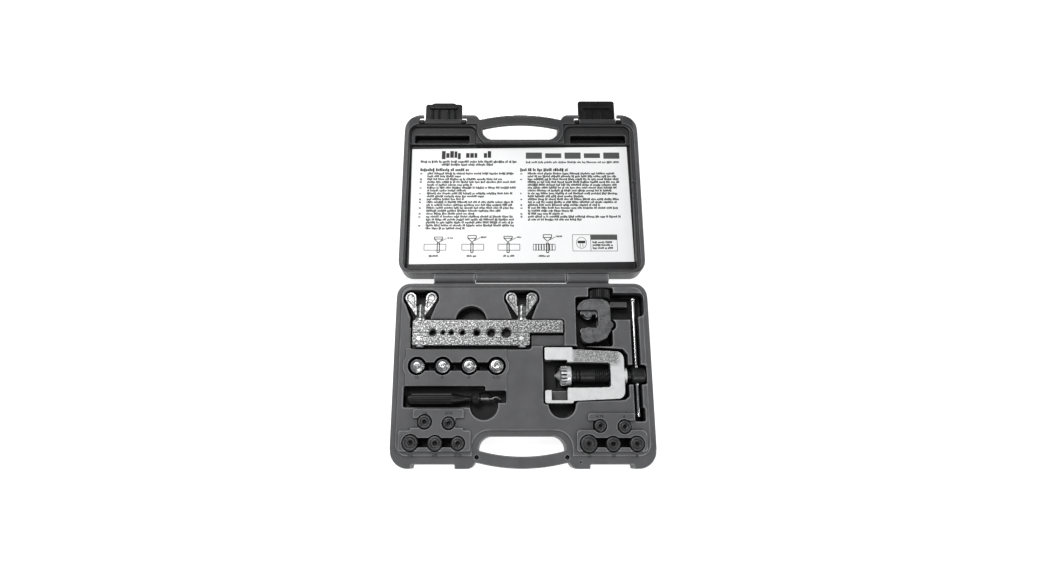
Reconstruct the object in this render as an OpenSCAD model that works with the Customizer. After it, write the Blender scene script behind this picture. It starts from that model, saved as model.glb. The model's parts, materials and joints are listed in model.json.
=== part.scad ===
// Tube flaring kit in a two-part carry case.
// X runs to the right, Y runs from the front edge to the hinge, Z is up.
// The origin is on the underside of the base half, below the middle of the tray.
// The case lies open flat, so both halves rest on Z = 0.

/* [Case] */
// Width of each half of the case
case_w = 287; // [280:1:300]
// Depth of each half, from its front edge to its hinge edge
case_d = 205; // [204:1:206]
// Height of each half; the two halves meet on this plane when closed
case_h = 28; // [28:0.5:30]
// Corner radius on the hinge side
rear_corner_r = 15; // [10:1:18]
// Corner radius on the front side
front_corner_r = 20; // [12:1:22]
// Height of the tray deck above the meeting plane
deck_rise = 2; // [1:0.5:3]
// Height of the adapter islands above the deck
island_rise = 3; // [2:0.5:4]
// Gap between each half's hinge edge and the hinge axis
hinge_gap = 6; // [5.8:0.1:6.5]
// Radius of the hinge knuckles
knuckle_r = 5.4; // [5:0.1:5.5]

/* [Handle] */
// Half the width of the hand opening
handle_half_w = 47; // [42:1:50]
// Thickness of the curved grip, front to back
grip_t = 13; // [10:0.5:16]
// Outer radius of the curved grip
grip_r = 195; // [190:1:220]

/* [Flaring bar] */
// Length of the longer bar half
bar_long = 168.7; // [165:0.1:174]
// Length of the shorter bar half
bar_short = 131.2; // [130:0.1:134]
// Width of one bar half, measured across the parting line
bar_half_w = 14.2; // [14:0.05:14.5]
// Thickness of the bar
bar_t = 10; // [8:0.5:10.5]
// Nominal diameter of the clamp bolts
bolt_d = 6; // [5:0.5:6]
// Span of a wing nut across its wings
wing_span = 36; // [30:0.5:37]

/* [Yoke] */
// Thickness of the yoke casting
yoke_t = 19; // [16:0.5:20]
// Diameter of the feed screw
screw_d = 15; // [12:0.5:15]
// Diameter of the sliding T-bar
tbar_d = 4.6; // [4:0.1:5]
// Length of the sliding T-bar
tbar_len = 135; // [125:1:137]

/* [Tube cutter] */
// Diameter of the cutter's knurled knob
knob_d = 24; // [20:0.5:24.5]
// Thickness of the cutter's body
cutter_t = 18; // [15:0.5:19]
// Diameter of the cutting wheel
wheel_d = 12; // [10:0.5:12.5]

/* [Deburring tool] */
// Diameter of the deburring tool's handle
deburr_d = 13; // [11:0.5:14]

/* [Hidden] */
$fn = 64;

// Play between tools and tray, and the running clearance of shafts in their holes
play = 0.2;
fit_gap = 0.05;
above = 100;

// Case
half_w = case_w / 2;
front_y = -case_d / 2;
rear_y = case_d / 2;
hinge_y = rear_y + hinge_gap;
deck_z = case_h + deck_rise;
island_z = deck_z + island_rise;
handle_x = -1;
opening_y = -68.6;
opening_corner_r = 14;
grip_h = 11;
grip_step = 0.1;
lobe_corner_r = 8;
deck_inset = 6;
deck_front_y = front_y + 13;
foot_inset = 2.5;
foot_h = 2.5;

// Latches: x of each centre, and the pivot in the open lid
latch_x = [-96.8, 95.3];
latch_half_w = 23;
latch_notch_half_w = 23.4;
latch_notch_depth = 4.6;
latch_pivot_y = 2 * hinge_y - front_y - 7.5;
latch_pivot_z = 22;
latch_pin_r = 1.25;
barrel_r = 4.2;
ear_slot_half_w = 29.5;
ear_bridge_z = latch_pivot_z + 2.4;
plate_reach = [28.6, 33.2];
tab_reach = [30.4, 33.2];
tab_half_w = [17, 19];
plate_drop = 7;
plate_t = 2.5;
catch_reach = 21;

// Hinge: x where the knuckles start and stop; the middle one is on the lid
hinge_pin_r = 1.5;
knuckle_out = [-101, 99.5];
knuckle_in = [-54, 51.5];
knuckle_gap = 0.6;

// Tray floors, lowest first
wing_floor = 7;
deep_floor = 8;
channel_floor = 12;
scoop_floor = 12;
yoke_floor = 12.8;
tool_floor = 15;
bar_floor = 22.8;
ledge_floor = 26.5;

// Flaring bar
bar_z = 23;
bar_mid_z = bar_z + bar_t / 2;
bar_x = -123.2;
parting_y = 44.3;
parting_gap = 0.15;
bar_far_y = parting_y + parting_gap + bar_half_w;
bar_near_y = parting_y - parting_gap - bar_half_w;
bar_end_r = 2.5;
bolt_x = [-115.2, -0.5];
bolt_pin_y = 37.8;
bolt_pin_r = 2.2;
nut_y = bar_far_y + 1.4;
// Tube holes: x of the centre, radius
TUBE_HOLES = [[-100.7, 3.1], [-89.2, 1.5], [-79.7, 1.9], [-67.2, 2.3], [-51.4, 3.1], [-35.2, 3.9],
              [-18.2, 4.8]];
tube_sink = 1.7;

// Yoke
yoke_y = -2.8;
yoke_mid_z = 22.5;
foot_x = [24.5, 55.5];
foot_half_span = 30.7;
foot_depth = 14;
foot_slot_x = [31.5, 49];
arm_end_x = 112;
arm_inner_x = 97;
arm_corner_r = 8;
arm_inner_half = [13.6, 14.2];
arm_outer_half = [26, 28.2];
boss_r = 8.9;
boss_x = 115.5;
cone_tip_x = 35.5;
collar_x = [41.5, 54];
sleeve_x = [54.2, 62.8];
hub_x = [120.7, 135.5];
hub_r = 9.2;
tbar_x = 127.1;
tbar_top_y = 86.5;

// Tube cutter
cutter_z = 20.2;
screw_x = 90;
wheel_x = 75;
wheel_y = 67.5;
jaw = [75, 42];
jaw_r = 9;
roller_x = [69.5, 80.5];
roller_y = 46.8;
roller_r = 4.2;
throat_y = [50.5, 71];
knob_y = [84.6, 96];
slide_half_t = 5.2;

// Deburring tool
deburr_y = -28.4;
deburr_z = 23.5;
deburr_x = [-127.5, -24.5];
shank_r = 2.4;

// Adapters: x, y, radius of the head, radius of the pin
BUBBLE = [[-117, 7.2, 8.5, 2.4], [-88.6, 7.2, 8.5, 3.2], [-59.2, 7.2, 8.5, 4], [-28.9, 7.2, 8.5, 4.8]];
LEFT_SET = [[-106.4, -53.5, 7.3, 2.9], [-80.4, -55, 6.4, 2.2], [-121, -75.5, 8.3, 4.6],
            [-94.6, -75.9, 7.8, 4], [-70.1, -76, 7, 3.4]];
RIGHT_SET = [[83.1, -57.7, 6.4, 2.2], [109.3, -58.5, 6.8, 2.7], [70.3, -76.4, 8.9, 4.6],
             [96.3, -76.6, 7.6, 3.8], [121.7, -76.4, 7.6, 3.3]];
bubble_top = 33.5;
bubble_bottom = deep_floor + play;
head_top = 34.6;
head_bottom = 25;
pin_bottom = 15;
adapter_gap = 0.9;

// Colours
case_grey = [0.42, 0.42, 0.43];
lid_grey = [0.28, 0.28, 0.29];
latch_black = [0.07, 0.07, 0.07];
zinc = [0.72, 0.72, 0.72];
steel = [0.8, 0.8, 0.82];
silver_paint = [0.88, 0.88, 0.88];
black_oxide = [0.1, 0.1, 0.1];
dark_oxide = [0.3, 0.3, 0.31];
grey_paint = [0.5, 0.5, 0.51];
paper = [0.96, 0.96, 0.96];

// ---- Plain shapes ----

// A flat shape with a corner radius for each corner, counted from low x and low y anticlockwise
module rounded_2d(x0, x1, y0, y1, r) {
    corners = [[x0, y0, 1, 1], [x1, y0, -1, 1], [x1, y1, -1, -1], [x0, y1, 1, -1]];
    difference() {
        translate([x0, y0]) square([x1 - x0, y1 - y0]);
        for (i = [0:3]) if (r[i] > 0) corner_2d(corners[i], r[i]);
    }
}

// What a rounded corner takes off a square one
module corner_2d(c, r) {
    difference() {
        translate([c[0] + (c[2] > 0 ? -1 : -r), c[1] + (c[3] > 0 ? -1 : -r)]) square(r + 1);
        translate([c[0] + c[2] * r, c[1] + c[3] * r]) circle(r);
    }
}

module rounded_box(x0, x1, y0, y1, z0, z1, r) {
    translate([0, 0, z0]) linear_extrude(z1 - z0) rounded_2d(x0, x1, y0, y1, [r, r, r, r]);
}

module box(x0, x1, y0, y1, z0, z1) {
    translate([x0, y0, z0]) cube([x1 - x0, y1 - y0, z1 - z0]);
}

module pocket(x0, x1, y0, y1, floor_z, r) {
    rounded_box(x0, x1, y0, y1, floor_z, above, r);
}

module well(x, y, r, floor_z) {
    translate([x, y, floor_z]) cylinder(r = r, h = above);
}

// Round bars along X and along Y, from one end to the other
module rod_x(x0, x1, y, z, r) {
    translate([x0, y, z]) rotate([0, 90, 0]) cylinder(r = r, h = x1 - x0);
}

module taper_x(x0, x1, y, z, r0, r1) {
    translate([x0, y, z]) rotate([0, 90, 0]) cylinder(r1 = r0, r2 = r1, h = x1 - x0);
}

module rod_y(x, y0, y1, z, r) {
    translate([x, y0, z]) rotate([-90, 0, 0]) cylinder(r = r, h = y1 - y0);
}

module taper_y(x, y0, y1, z, r0, r1) {
    translate([x, y0, z]) rotate([-90, 0, 0]) cylinder(r1 = r0, r2 = r1, h = y1 - y0);
}

// ---- Case ----

// The outline of a half, drawn in the base's place; inset draws it smaller
module case_outline(inset = 0) {
    x0 = -half_w + inset;
    x1 = half_w - inset;
    y0 = front_y + inset;
    y1 = rear_y - inset;
    rear_r = rear_corner_r - inset;
    front_r = front_corner_r - inset;
    lobe_r = lobe_corner_r - inset;
    rounded_2d(x0, handle_x - handle_half_w - 3.5 - inset, y0, y1, [front_r, lobe_r, 0, rear_r]);
    rounded_2d(handle_x + handle_half_w + 3.5 + inset, x1, y0, y1, [lobe_r, front_r, rear_r, 0]);
    opening_w = handle_half_w + inset;
    opening_r = opening_corner_r + inset;
    translate([x0 + rear_corner_r, opening_y + inset])
        square([x1 - x0 - 2 * rear_corner_r, y1 - opening_y - inset]);
    difference() {
        intersection() {
            translate([handle_x, front_y + grip_r]) circle(grip_r - inset, $fn = 256);
            translate([handle_x - handle_half_w - 10, y0]) square([2 * handle_half_w + 20, 60]);
        }
        rounded_2d(handle_x - opening_w, handle_x + opening_w, y0 - 1, opening_y + inset,
                   [0, 0, opening_r, opening_r]);
    }
}

// The curved bar that the hand holds: flat on the meeting plane and half round below it
module grip() {
    r0 = grip_r - grip_t;
    r1 = grip_r - grip_step;
    translate([handle_x, front_y + grip_r, 0]) intersection() {
        rotate_extrude($fn = 128) polygon([
            [r0, case_h], [r0, case_h - 2.5], [r0 + 1, case_h - 6], [r0 + 3.5, case_h - 9.5],
            [r0 + 5.5, case_h - grip_h], [r1 - 5.5, case_h - grip_h], [r1 - 3.5, case_h - 9.5],
            [r1 - 1, case_h - 6], [r1, case_h - 2.5], [r1, case_h]]);
        box(-handle_half_w - 7, handle_half_w + 7, -grip_r, -grip_r + 50, 0, case_h);
    }
}

// A half without its tray, pockets or knuckles
module case_half() {
    linear_extrude(foot_h) case_outline(foot_inset);
    translate([0, 0, foot_h]) linear_extrude(case_h - foot_h) case_outline();
    grip();
}

// The deck keeps clear of the rim and of the handle
module deck_2d(grow = 0) {
    ring = 7 - grow;
    difference() {
        rounded_2d(-half_w + deck_inset - grow, half_w - deck_inset + grow,
                   deck_front_y - grow, rear_y - deck_inset + 1 + grow, [13, 13, 10, 10]);
        rounded_2d(handle_x - handle_half_w - ring, handle_x + handle_half_w + ring,
                   front_y, opening_y + ring - 1, [0, 0, 11 + ring, 11 + ring]);
    }
}

// The islands that stand around the two sets of dark adapters
module island_left_2d() {
    rounded_2d(-119.2, -64.2, -49.6, -39.6, [1, 1, 3, 3]);
    rounded_2d(-112.7, -73.2, -62, -49, [0, 0, 0, 0]);
    rounded_2d(-121.7, -64.7, -63, -59.6, [0, 0, 1, 1]);
    rounded_2d(-134.2, -56.2, -84.4, -62.4, [3, 3, 3, 3]);
}

module island_right_2d() {
    rounded_2d(70.5, 121, -52, -44.2, [1, 0, 0, 3]);
    rounded_2d(84, 109, -64, -51, [0, 0, 0, 0]);
    rounded_2d(57.5, 133, -84.5, -62.2, [3, 3, 5, 4]);
}

// The low raised field around the bright adapters
module bubble_field_2d() {
    rounded_2d(-129.5, -17.6, -32, 27, [1, 1, 1, 1]);
    translate([-117.8, 7.2]) circle(15);
    translate([-29.2, 7.2]) circle(14.4);
}

module hinge_knuckle(x0, x1) {
    rod_x(x0, x1, hinge_y, case_h, knuckle_r);
}

module hinge_bore() {
    rod_x(knuckle_out[0] - 1, knuckle_out[1] + 1, hinge_y, case_h, hinge_pin_r + fit_gap);
}

module wing_pocket(x) {
    nut_half = wing_span / 2 + 2.3;
    top_y = rear_y - 8.2;
    pocket(x - nut_half, x + nut_half, 75, top_y, wing_floor, 9);
    translate([0, 0, wing_floor]) linear_extrude(above)
        polygon([[x - nut_half, 84], [x - 11.5, 62], [x - 11.5, 50],
                 [x + 11.5, 50], [x + 11.5, 62], [x + nut_half, 84]]);
}

module bar_pockets() {
    for (x = bolt_x) wing_pocket(x);
    pocket(bar_x - 2, bar_x + bar_long + 2, parting_y - 2, bar_far_y + 1.5, bar_floor, 3);
    pocket(bar_x - 2, bar_x + bar_short + 2, bar_near_y - 4.2, parting_y + 5, bar_floor, 3);
    pocket(bar_x + bar_short, bar_x + bar_long + 1.5, bar_near_y - 0.5, parting_y + 1, ledge_floor, 2);
    well(-58, bar_far_y - 0.5, 17.5, scoop_floor);
}

module bubble_pockets() {
    for (a = BUBBLE) well(a[0], a[1], a[2] + 1.8, deep_floor);
    pocket(BUBBLE[0][0], BUBBLE[3][0], 1.8, 11.2, channel_floor, 1);
}

module deburr_pockets() {
    pocket(-131, -41, -38.1, -14.8, tool_floor, 2);
    pocket(-45, -18.4, -33.3, -19.8, tool_floor, 1);
    well(-42.5, -36.1, 15.5, scoop_floor);
}

module adapter_pockets(set, channel_x0, channel_x1) {
    for (a = set) {
        well(a[0], a[1], a[2] + adapter_gap, head_bottom - 1.4);
        well(a[0], a[1], a[3] + 1.2, pin_bottom - 1);
    }
    pocket(channel_x0, channel_x1, -80, -70.3, channel_floor, 1);
}

// The yoke lies beside the cutter, and their pockets run into each other
module yoke_pockets() {
    pocket(22.8, 59, yoke_y - foot_half_span - 1, yoke_y + foot_half_span + 2, yoke_floor, 2);
    translate([0, 0, yoke_floor]) linear_extrude(above)
        polygon([[50, -33], [58, -33], [62, -31.4], [112, -30], [117, -26],
                 [117, 20], [112, 26.2], [58, 29.5], [50, 29.5]]);
    pocket(38, 57, yoke_y - 12.5, yoke_y + 12.5, yoke_floor - 1.8, 1);
    well(43, -34.6, 15, scoop_floor);
}

module tbar_pockets() {
    pocket(121.8, 131.3, -53, 88, wing_floor, 1.5);
    pocket(121.8, 133.3, -53, -38, wing_floor, 2);
    pocket(114, 137.3, -13.2, 8.6, wing_floor, 3);
    pocket(99, 138.5, 63, 91, wing_floor, 6);
    pocket(99, 124, 59.5, 75, wing_floor, 2);
}

module cutter_pockets() {
    pocket(60.5, 101.5, 29, 86.5, deep_floor, 3);
    pocket(75.5, 104, 76, 97, wing_floor, 2);
    well(99.5, 53.5, 6.5, deep_floor);
}

// Where a latch lies when the case is shut, and the slot that its catch snaps into
module latch_notch(x) {
    w = latch_notch_half_w;
    back_y = front_y + latch_notch_depth;
    box(x - w, x + w, front_y - 1, back_y, -1, above);
    box(x - w + 2, x + w - 2, back_y - 1, back_y + 2.6, 9, 14.5);
}

module case_base() {
    color(case_grey) difference() {
        union() {
            case_half();
            translate([0, 0, case_h - 1]) linear_extrude(deck_rise + 1) deck_2d();
            translate([0, 0, case_h]) linear_extrude(island_z - case_h) island_left_2d();
            translate([0, 0, case_h]) linear_extrude(island_z - case_h) island_right_2d();
            translate([0, 0, case_h]) linear_extrude(deck_rise + 1.5) bubble_field_2d();
            for (k = [[knuckle_out[0], knuckle_in[0]], [knuckle_in[1], knuckle_out[1]]]) {
                hinge_knuckle(k[0], k[1]);
                box(k[0], k[1], rear_y - 3, hinge_y, case_h - knuckle_r, case_h - 0.4);
            }
        }
        hinge_bore();
        bar_pockets();
        bubble_pockets();
        deburr_pockets();
        adapter_pockets(LEFT_SET, LEFT_SET[2][0], LEFT_SET[4][0]);
        adapter_pockets(RIGHT_SET, RIGHT_SET[2][0], RIGHT_SET[4][0]);
        yoke_pockets();
        tbar_pockets();
        cutter_pockets();
        for (x = latch_x) latch_notch(x);
        for (x = [handle_x - handle_half_w - 1.8, handle_x + handle_half_w + 1.4])
            well(x, -90.4, 2.3, case_h - 5);
        well(61.5, -95.3, 1, case_h - 4);
    }
    // The rest that the T-bar's tip lies beside
    color(case_grey) box(101.4, 120.5, 76, 82, wing_floor, 21);
}

// The lid is the base's outline turned over about the hinge axis
module in_lid() {
    translate([0, 2 * hinge_y, 0]) mirror([0, 1, 0]) children();
}

// The latch's room in the lid's edge: the plate's notch, and a slot for each ear under a bridge
module latch_seat(x) {
    back_y = latch_pivot_y - 4.6;
    lip_y = latch_pivot_y + 3.9;
    out_y = above * 5;
    z0 = latch_pivot_z - 8.5;
    notch_w = latch_notch_half_w;
    ear_w = ear_slot_half_w;
    box(x - notch_w, x + notch_w, back_y, out_y, z0, above);
    for (s = [[x - ear_w, x - latch_half_w], [x + latch_half_w, x + ear_w]]) {
        box(s[0], s[1], back_y, lip_y, z0, above);
        box(s[0], s[1], back_y, out_y, z0, ear_bridge_z);
    }
    box(x - ear_w, x + ear_w, back_y, out_y, z0, latch_pivot_z - 4.3);
}

module case_lid() {
    floor_z = case_h - 12;
    plateau_z = case_h - 7.2;
    well_floor = 10;
    well_y = [-78, -67.3];
    color(lid_grey) difference() {
        union() {
            in_lid() case_half();
            hinge_knuckle(knuckle_in[0] + knuckle_gap, knuckle_in[1] - knuckle_gap);
            box(knuckle_in[0] + knuckle_gap, knuckle_in[1] - knuckle_gap,
                hinge_y, hinge_y + hinge_gap + 3, case_h - knuckle_r, case_h - 0.4);
        }
        hinge_bore();
        // Room for the deck, the card recess, the plateau in front of it with its two wells,
        // and a notch for the feed screw's hub
        in_lid() translate([0, 0, case_h - deck_rise - 0.8]) linear_extrude(above) deck_2d(0.8);
        in_lid() pocket(-136.8, 134, well_y[1] + 1.5, rear_y - 6.5, floor_z, 3);
        in_lid() pocket(-136.8, handle_x - handle_half_w - 7.4, deck_front_y + 1, -60, plateau_z, 8);
        in_lid() pocket(handle_x + handle_half_w + 7.4, 134, deck_front_y + 1, -60, plateau_z, 8);
        in_lid() pocket(128, 136.8, -14, 9, case_h - 4.8, 2);
        in_lid() pocket(-131.5, -64, well_y[0], well_y[1], well_floor, 1);
        in_lid() pocket(61, 129.5, well_y[0], well_y[1], well_floor, 2);
        for (x = latch_x) latch_seat(x);
    }
    color(lid_grey) for (x = latch_x) difference() {
        union() {
            rod_x(x - latch_half_w + 0.3, x + latch_half_w - 0.3, latch_pivot_y, latch_pivot_z, barrel_r);
            box(x - latch_half_w + 0.3, x + latch_half_w - 0.3, latch_pivot_y - 5, latch_pivot_y,
                latch_pivot_z - barrel_r, latch_pivot_z + barrel_r);
        }
        latch_pin_bore(x);
    }
}

module latch_pin_bore(x) {
    rod_x(x - 40, x + 40, latch_pivot_y, latch_pivot_z, latch_pin_r + fit_gap);
}

module hinge_pin() {
    color(steel) rod_x(knuckle_out[0] + 0.5, knuckle_out[1] - 0.5, hinge_y, case_h, hinge_pin_r);
}

module instruction_card() {
    color(paper) translate([-0.9, 205.4, case_h - 12 + 0.1]) rotate([0, 0, 0.7])
        linear_extrude(0.4) square([266.4, 149.5], center = true);
}

// ---- Latches ----

module latch(i) {
    x = latch_x[i];
    y = latch_pivot_y;
    z = latch_pivot_z;
    color(latch_black) difference() {
        union() {
            for (s = [-1, 1]) {
                ear_x0 = s > 0 ? latch_half_w + 0.6 : -latch_half_w - 5.6;
                rod_x(x + ear_x0, x + ear_x0 + 5, y, z, 3.5);
                box(x + ear_x0, x + ear_x0 + 5, y - 2, y + 2, z - plate_drop, z);
                for (rib = [6, 14])
                    box(x + s * rib - 0.8, x + s * rib + 0.8, y + 6, y + 20, z - plate_drop + 1, z - 3.4);
            }
            box(x - latch_half_w - 5.6, x + latch_half_w + 5.6, y - 2, y + 2,
                z - plate_drop, z - plate_drop + 2.2);
            translate([x, y, z - plate_drop]) linear_extrude(plate_t) {
                rounded_2d(-latch_half_w, latch_half_w, -2, plate_reach[i], [0, 0, 3, 3]);
                rounded_2d(-tab_half_w[i], tab_half_w[i], 10, tab_reach[i], [0, 0, 6, 6]);
            }
            box(x - 17, x + 17, y + catch_reach, y + catch_reach + 2.4, z - plate_drop + 1, z - 1);
        }
        rod_x(x - 40, x + 40, y, z, latch_pin_r + fit_gap);
    }
}

module latch_left() { latch(0); }

module latch_right() { latch(1); }

module latch_pin(x) {
    half = latch_half_w + 5.4;
    color(steel) rod_x(x - half, x + half, latch_pivot_y, latch_pivot_z, latch_pin_r);
}

module latch_pin_left() { latch_pin(latch_x[0]); }

module latch_pin_right() { latch_pin(latch_x[1]); }

// ---- Flaring bar ----

module tube_hole_cuts() {
    for (h = TUBE_HOLES) {
        translate([h[0], parting_y, bar_z - 1]) cylinder(r = h[1], h = bar_t + 2);
        translate([h[0], parting_y, bar_z + bar_t - tube_sink])
            cylinder(r1 = h[1], r2 = h[1] + tube_sink + 0.2, h = tube_sink + 0.2);
    }
}

module bolt_bores() {
    for (x = bolt_x) rod_y(x, bar_near_y - 5, bar_far_y + 5, bar_mid_z, bolt_d / 2 + fit_gap);
}

module bar_long_half() {
    color(zinc) difference() {
        translate([0, 0, bar_z]) linear_extrude(bar_t)
            rounded_2d(bar_x, bar_x + bar_long, parting_y + parting_gap, bar_far_y,
                       [0, 0, bar_end_r, bar_end_r]);
        tube_hole_cuts();
        bolt_bores();
    }
}

module bar_short_half() {
    color(zinc) difference() {
        translate([0, 0, bar_z]) linear_extrude(bar_t)
            rounded_2d(bar_x, bar_x + bar_short, bar_near_y, parting_y - parting_gap,
                       [bar_end_r, bar_end_r, 0, 0]);
        tube_hole_cuts();
        bolt_bores();
        for (x = bolt_x) translate([x - 1, bolt_pin_y, bar_z - 1]) cylinder(r = bolt_pin_r, h = bar_t + 2);
    }
}

module clamp_bolt(x) {
    color(steel) difference() {
        union() {
            rod_y(x, bar_near_y - 1, 77, bar_mid_z, bolt_d / 2);
            rod_y(x, bar_near_y - 1.9, bar_near_y, bar_mid_z, bolt_d / 2 + 1.6);
        }
        translate([x - 1, bolt_pin_y, bar_z - 1]) cylinder(r = bolt_pin_r, h = bar_t + 2);
    }
}

module clamp_bolt_left() { clamp_bolt(bolt_x[0]); }

module clamp_bolt_right() { clamp_bolt(bolt_x[1]); }

module bolt_pin(x) {
    color(steel) translate([x - 1, bolt_pin_y, bar_z]) cylinder(r = bolt_pin_r, h = bar_t + 0.1);
}

module bolt_pin_left() { bolt_pin(bolt_x[0]); }

module bolt_pin_right() { bolt_pin(bolt_x[1]); }

// One wing, to the right of the bolt, with a shallow dish in both faces
module wing() {
    difference() {
        linear_extrude(3.6, center = true) hull() {
            translate([wing_span / 2 - 6.2, 25]) circle(6.2, $fn = 32);
            translate([4, 5]) circle(1.5, $fn = 32);
        }
        for (s = [-1, 1]) translate([0, 0, s * 1.8]) linear_extrude(1.6, center = true) hull() {
            translate([wing_span / 2 - 6.2, 25]) circle(4, $fn = 32);
            translate([7.4, 14]) circle(0.8, $fn = 32);
        }
    }
}

module wing_nut(x) {
    color(zinc) translate([x, nut_y, bar_mid_z]) difference() {
        union() {
            rotate([-90, 0, 0]) cylinder(r = 4.6, h = 15.2);
            rotate([-90, 0, 0]) cylinder(r = 6, h = 2.4);
            wing();
            mirror([1, 0, 0]) wing();
        }
        translate([0, -1, 0]) rotate([-90, 0, 0]) cylinder(r = bolt_d / 2 + fit_gap, h = 30);
        translate([0, 15.2, 0]) rotate([-90, 0, 0]) cylinder(r = 5.6, h = 30);
    }
}

module wing_nut_left() { wing_nut(bolt_x[0]); }

module wing_nut_right() { wing_nut(bolt_x[1]); }

module nut_washer(x) {
    color(steel) difference() {
        rod_y(x, bar_far_y + 0.05, nut_y - 0.05, bar_mid_z, 6.6);
        rod_y(x, bar_far_y - 1, nut_y + 1, bar_mid_z, bolt_d / 2 + fit_gap);
    }
}

module nut_washer_left() { nut_washer(bolt_x[0]); }

module nut_washer_right() { nut_washer(bolt_x[1]); }

// ---- Yoke ----

module yoke_arm_2d() {
    polygon([[foot_x[1] - 6, arm_inner_half[1]], [foot_x[1] - 6, arm_outer_half[1]],
             [foot_x[1] + 3, arm_outer_half[1]], [arm_end_x - arm_corner_r, arm_outer_half[0]],
             [arm_end_x - arm_corner_r, 0], [arm_inner_x, 0], [arm_inner_x, arm_inner_half[0] - 2],
             [arm_inner_x - 2, arm_inner_half[0]]]);
    translate([arm_end_x - arm_corner_r, 0]) square([arm_corner_r, arm_outer_half[0] - arm_corner_r]);
    translate([arm_end_x - arm_corner_r, arm_outer_half[0] - arm_corner_r]) circle(arm_corner_r);
}

// A foot hooks over one edge of the bar; its slot is open to one face and to the inside
module yoke_foot(opens_up) {
    z0 = yoke_mid_z - yoke_t / 2;
    z1 = yoke_mid_z + yoke_t / 2;
    inner = foot_half_span - foot_depth;
    difference() {
        rounded_box(foot_x[0], foot_x[1], inner, foot_half_span, z0, z1, 1.5);
        box(foot_slot_x[0], foot_slot_x[1], inner - 1, foot_half_span - 3,
            opens_up ? yoke_mid_z - 3 : z0 - 1, opens_up ? z1 + 1 : yoke_mid_z + 3);
    }
}

module yoke_frame() {
    color(silver_paint) difference() {
        union() {
            for (m = [0, 1]) translate([0, yoke_y, 0]) mirror([0, m, 0]) {
                translate([0, 0, yoke_mid_z - yoke_t / 2]) linear_extrude(yoke_t) yoke_arm_2d();
                yoke_foot(m == 1);
            }
            rod_x(arm_inner_x + 1, boss_x, yoke_y, yoke_mid_z, boss_r);
        }
        rod_x(arm_inner_x - 20, boss_x + 1, yoke_y, yoke_mid_z, screw_d / 2 + fit_gap);
    }
}

module feed_screw() {
    y = yoke_y;
    z = yoke_mid_z;
    color(black_oxide) difference() {
        union() {
            taper_x(63.2, 64.4, y, z, screw_d / 2 - 1.2, screw_d / 2);
            rod_x(64.4, 115.8, y, z, screw_d / 2);
            rod_x(115.8, hub_x[0], y, z, 5.4);
            taper_x(hub_x[0], hub_x[0] + 1.2, y, z, hub_r - 1.2, hub_r);
            rod_x(hub_x[0] + 1.2, hub_x[1] - 1.2, y, z, hub_r);
            taper_x(hub_x[1] - 1.2, hub_x[1], y, z, hub_r, hub_r - 1.2);
            rod_x(57, 63.2, y, z, 3.2);
            translate([58.8, y, z]) rotate([0, -90, 0]) rotate_extrude() intersection() {
                circle(4.6);
                translate([0, -1.8]) square([5, 6.4]);
            }
        }
        rod_y(tbar_x, y - 20, y + 20, z, tbar_d / 2 + fit_gap);
    }
}

module flare_cone() {
    color(steel) {
        taper_x(cone_tip_x, collar_x[0], yoke_y, yoke_mid_z, 1, 6);
        rod_x(collar_x[0], collar_x[1] - 2, yoke_y, yoke_mid_z, 5);
    }
}

module cone_collar() {
    color(steel) difference() {
        union() {
            taper_x(collar_x[0] + 0.1, collar_x[0] + 1.2, yoke_y, yoke_mid_z, 8.8, 10.8);
            rod_x(collar_x[0] + 1.2, collar_x[1] - 1, yoke_y, yoke_mid_z, 10.8);
            taper_x(collar_x[1] - 1, collar_x[1], yoke_y, yoke_mid_z, 10.8, 9.8);
        }
        rod_x(collar_x[0] - 1, collar_x[1] - 1.9, yoke_y, yoke_mid_z, 5);
        for (a = [0:22.5:359]) translate([0, yoke_y, yoke_mid_z]) rotate([a, 0, 0])
            rod_x(collar_x[0] - 1, collar_x[0] + 7, 0, 11.1, 1.5);
    }
}

// The sleeve holds the screw's ball end, so the cone can swivel
module cone_sleeve() {
    mouth_x = sleeve_x[1] - 1.8;
    color(black_oxide) difference() {
        union() {
            rod_x(sleeve_x[0], sleeve_x[1], yoke_y, yoke_mid_z, 6);
            rod_x(sleeve_x[0], sleeve_x[1] - 3.6, yoke_y, yoke_mid_z, 6.8);
            rod_x(sleeve_x[1] - 2.8, sleeve_x[1], yoke_y, yoke_mid_z, 6.8);
        }
        rod_x(sleeve_x[0] - 2.4, mouth_x, yoke_y, yoke_mid_z, 4.6 + fit_gap);
        rod_x(mouth_x - 1, sleeve_x[1] + 1, yoke_y, yoke_mid_z, 3.2 + fit_gap);
    }
}

module t_bar() {
    bottom_y = tbar_top_y - tbar_len;
    color(steel) {
        rod_y(tbar_x, bottom_y + 4, tbar_top_y - 4, yoke_mid_z, tbar_d / 2);
        for (e = [[bottom_y, bottom_y + 4], [tbar_top_y - 4, tbar_top_y]]) {
            taper_y(tbar_x, e[0], e[0] + 1, yoke_mid_z, tbar_d / 2 - 0.4, tbar_d / 2 + 0.6);
            rod_y(tbar_x, e[0] + 1, e[1] - 1, yoke_mid_z, tbar_d / 2 + 0.6);
            taper_y(tbar_x, e[1] - 1, e[1], yoke_mid_z, tbar_d / 2 + 0.6, tbar_d / 2 - 0.4);
        }
    }
}

// ---- Tube cutter ----

module cutter_profile_2d() {
    polygon([[62.6, 71], [62.6, 74], [65.5, 79], [70, 82.4], [77, 84], [91, 84], [97, 81],
             [100, 76], [100, 48], [95, 39], [85, 34.5], [79, 35.2], [72, 46], [74, 50.4],
             [84, 50.4], [86, 53], [86, 68], [84, 71]]);
}

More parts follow.
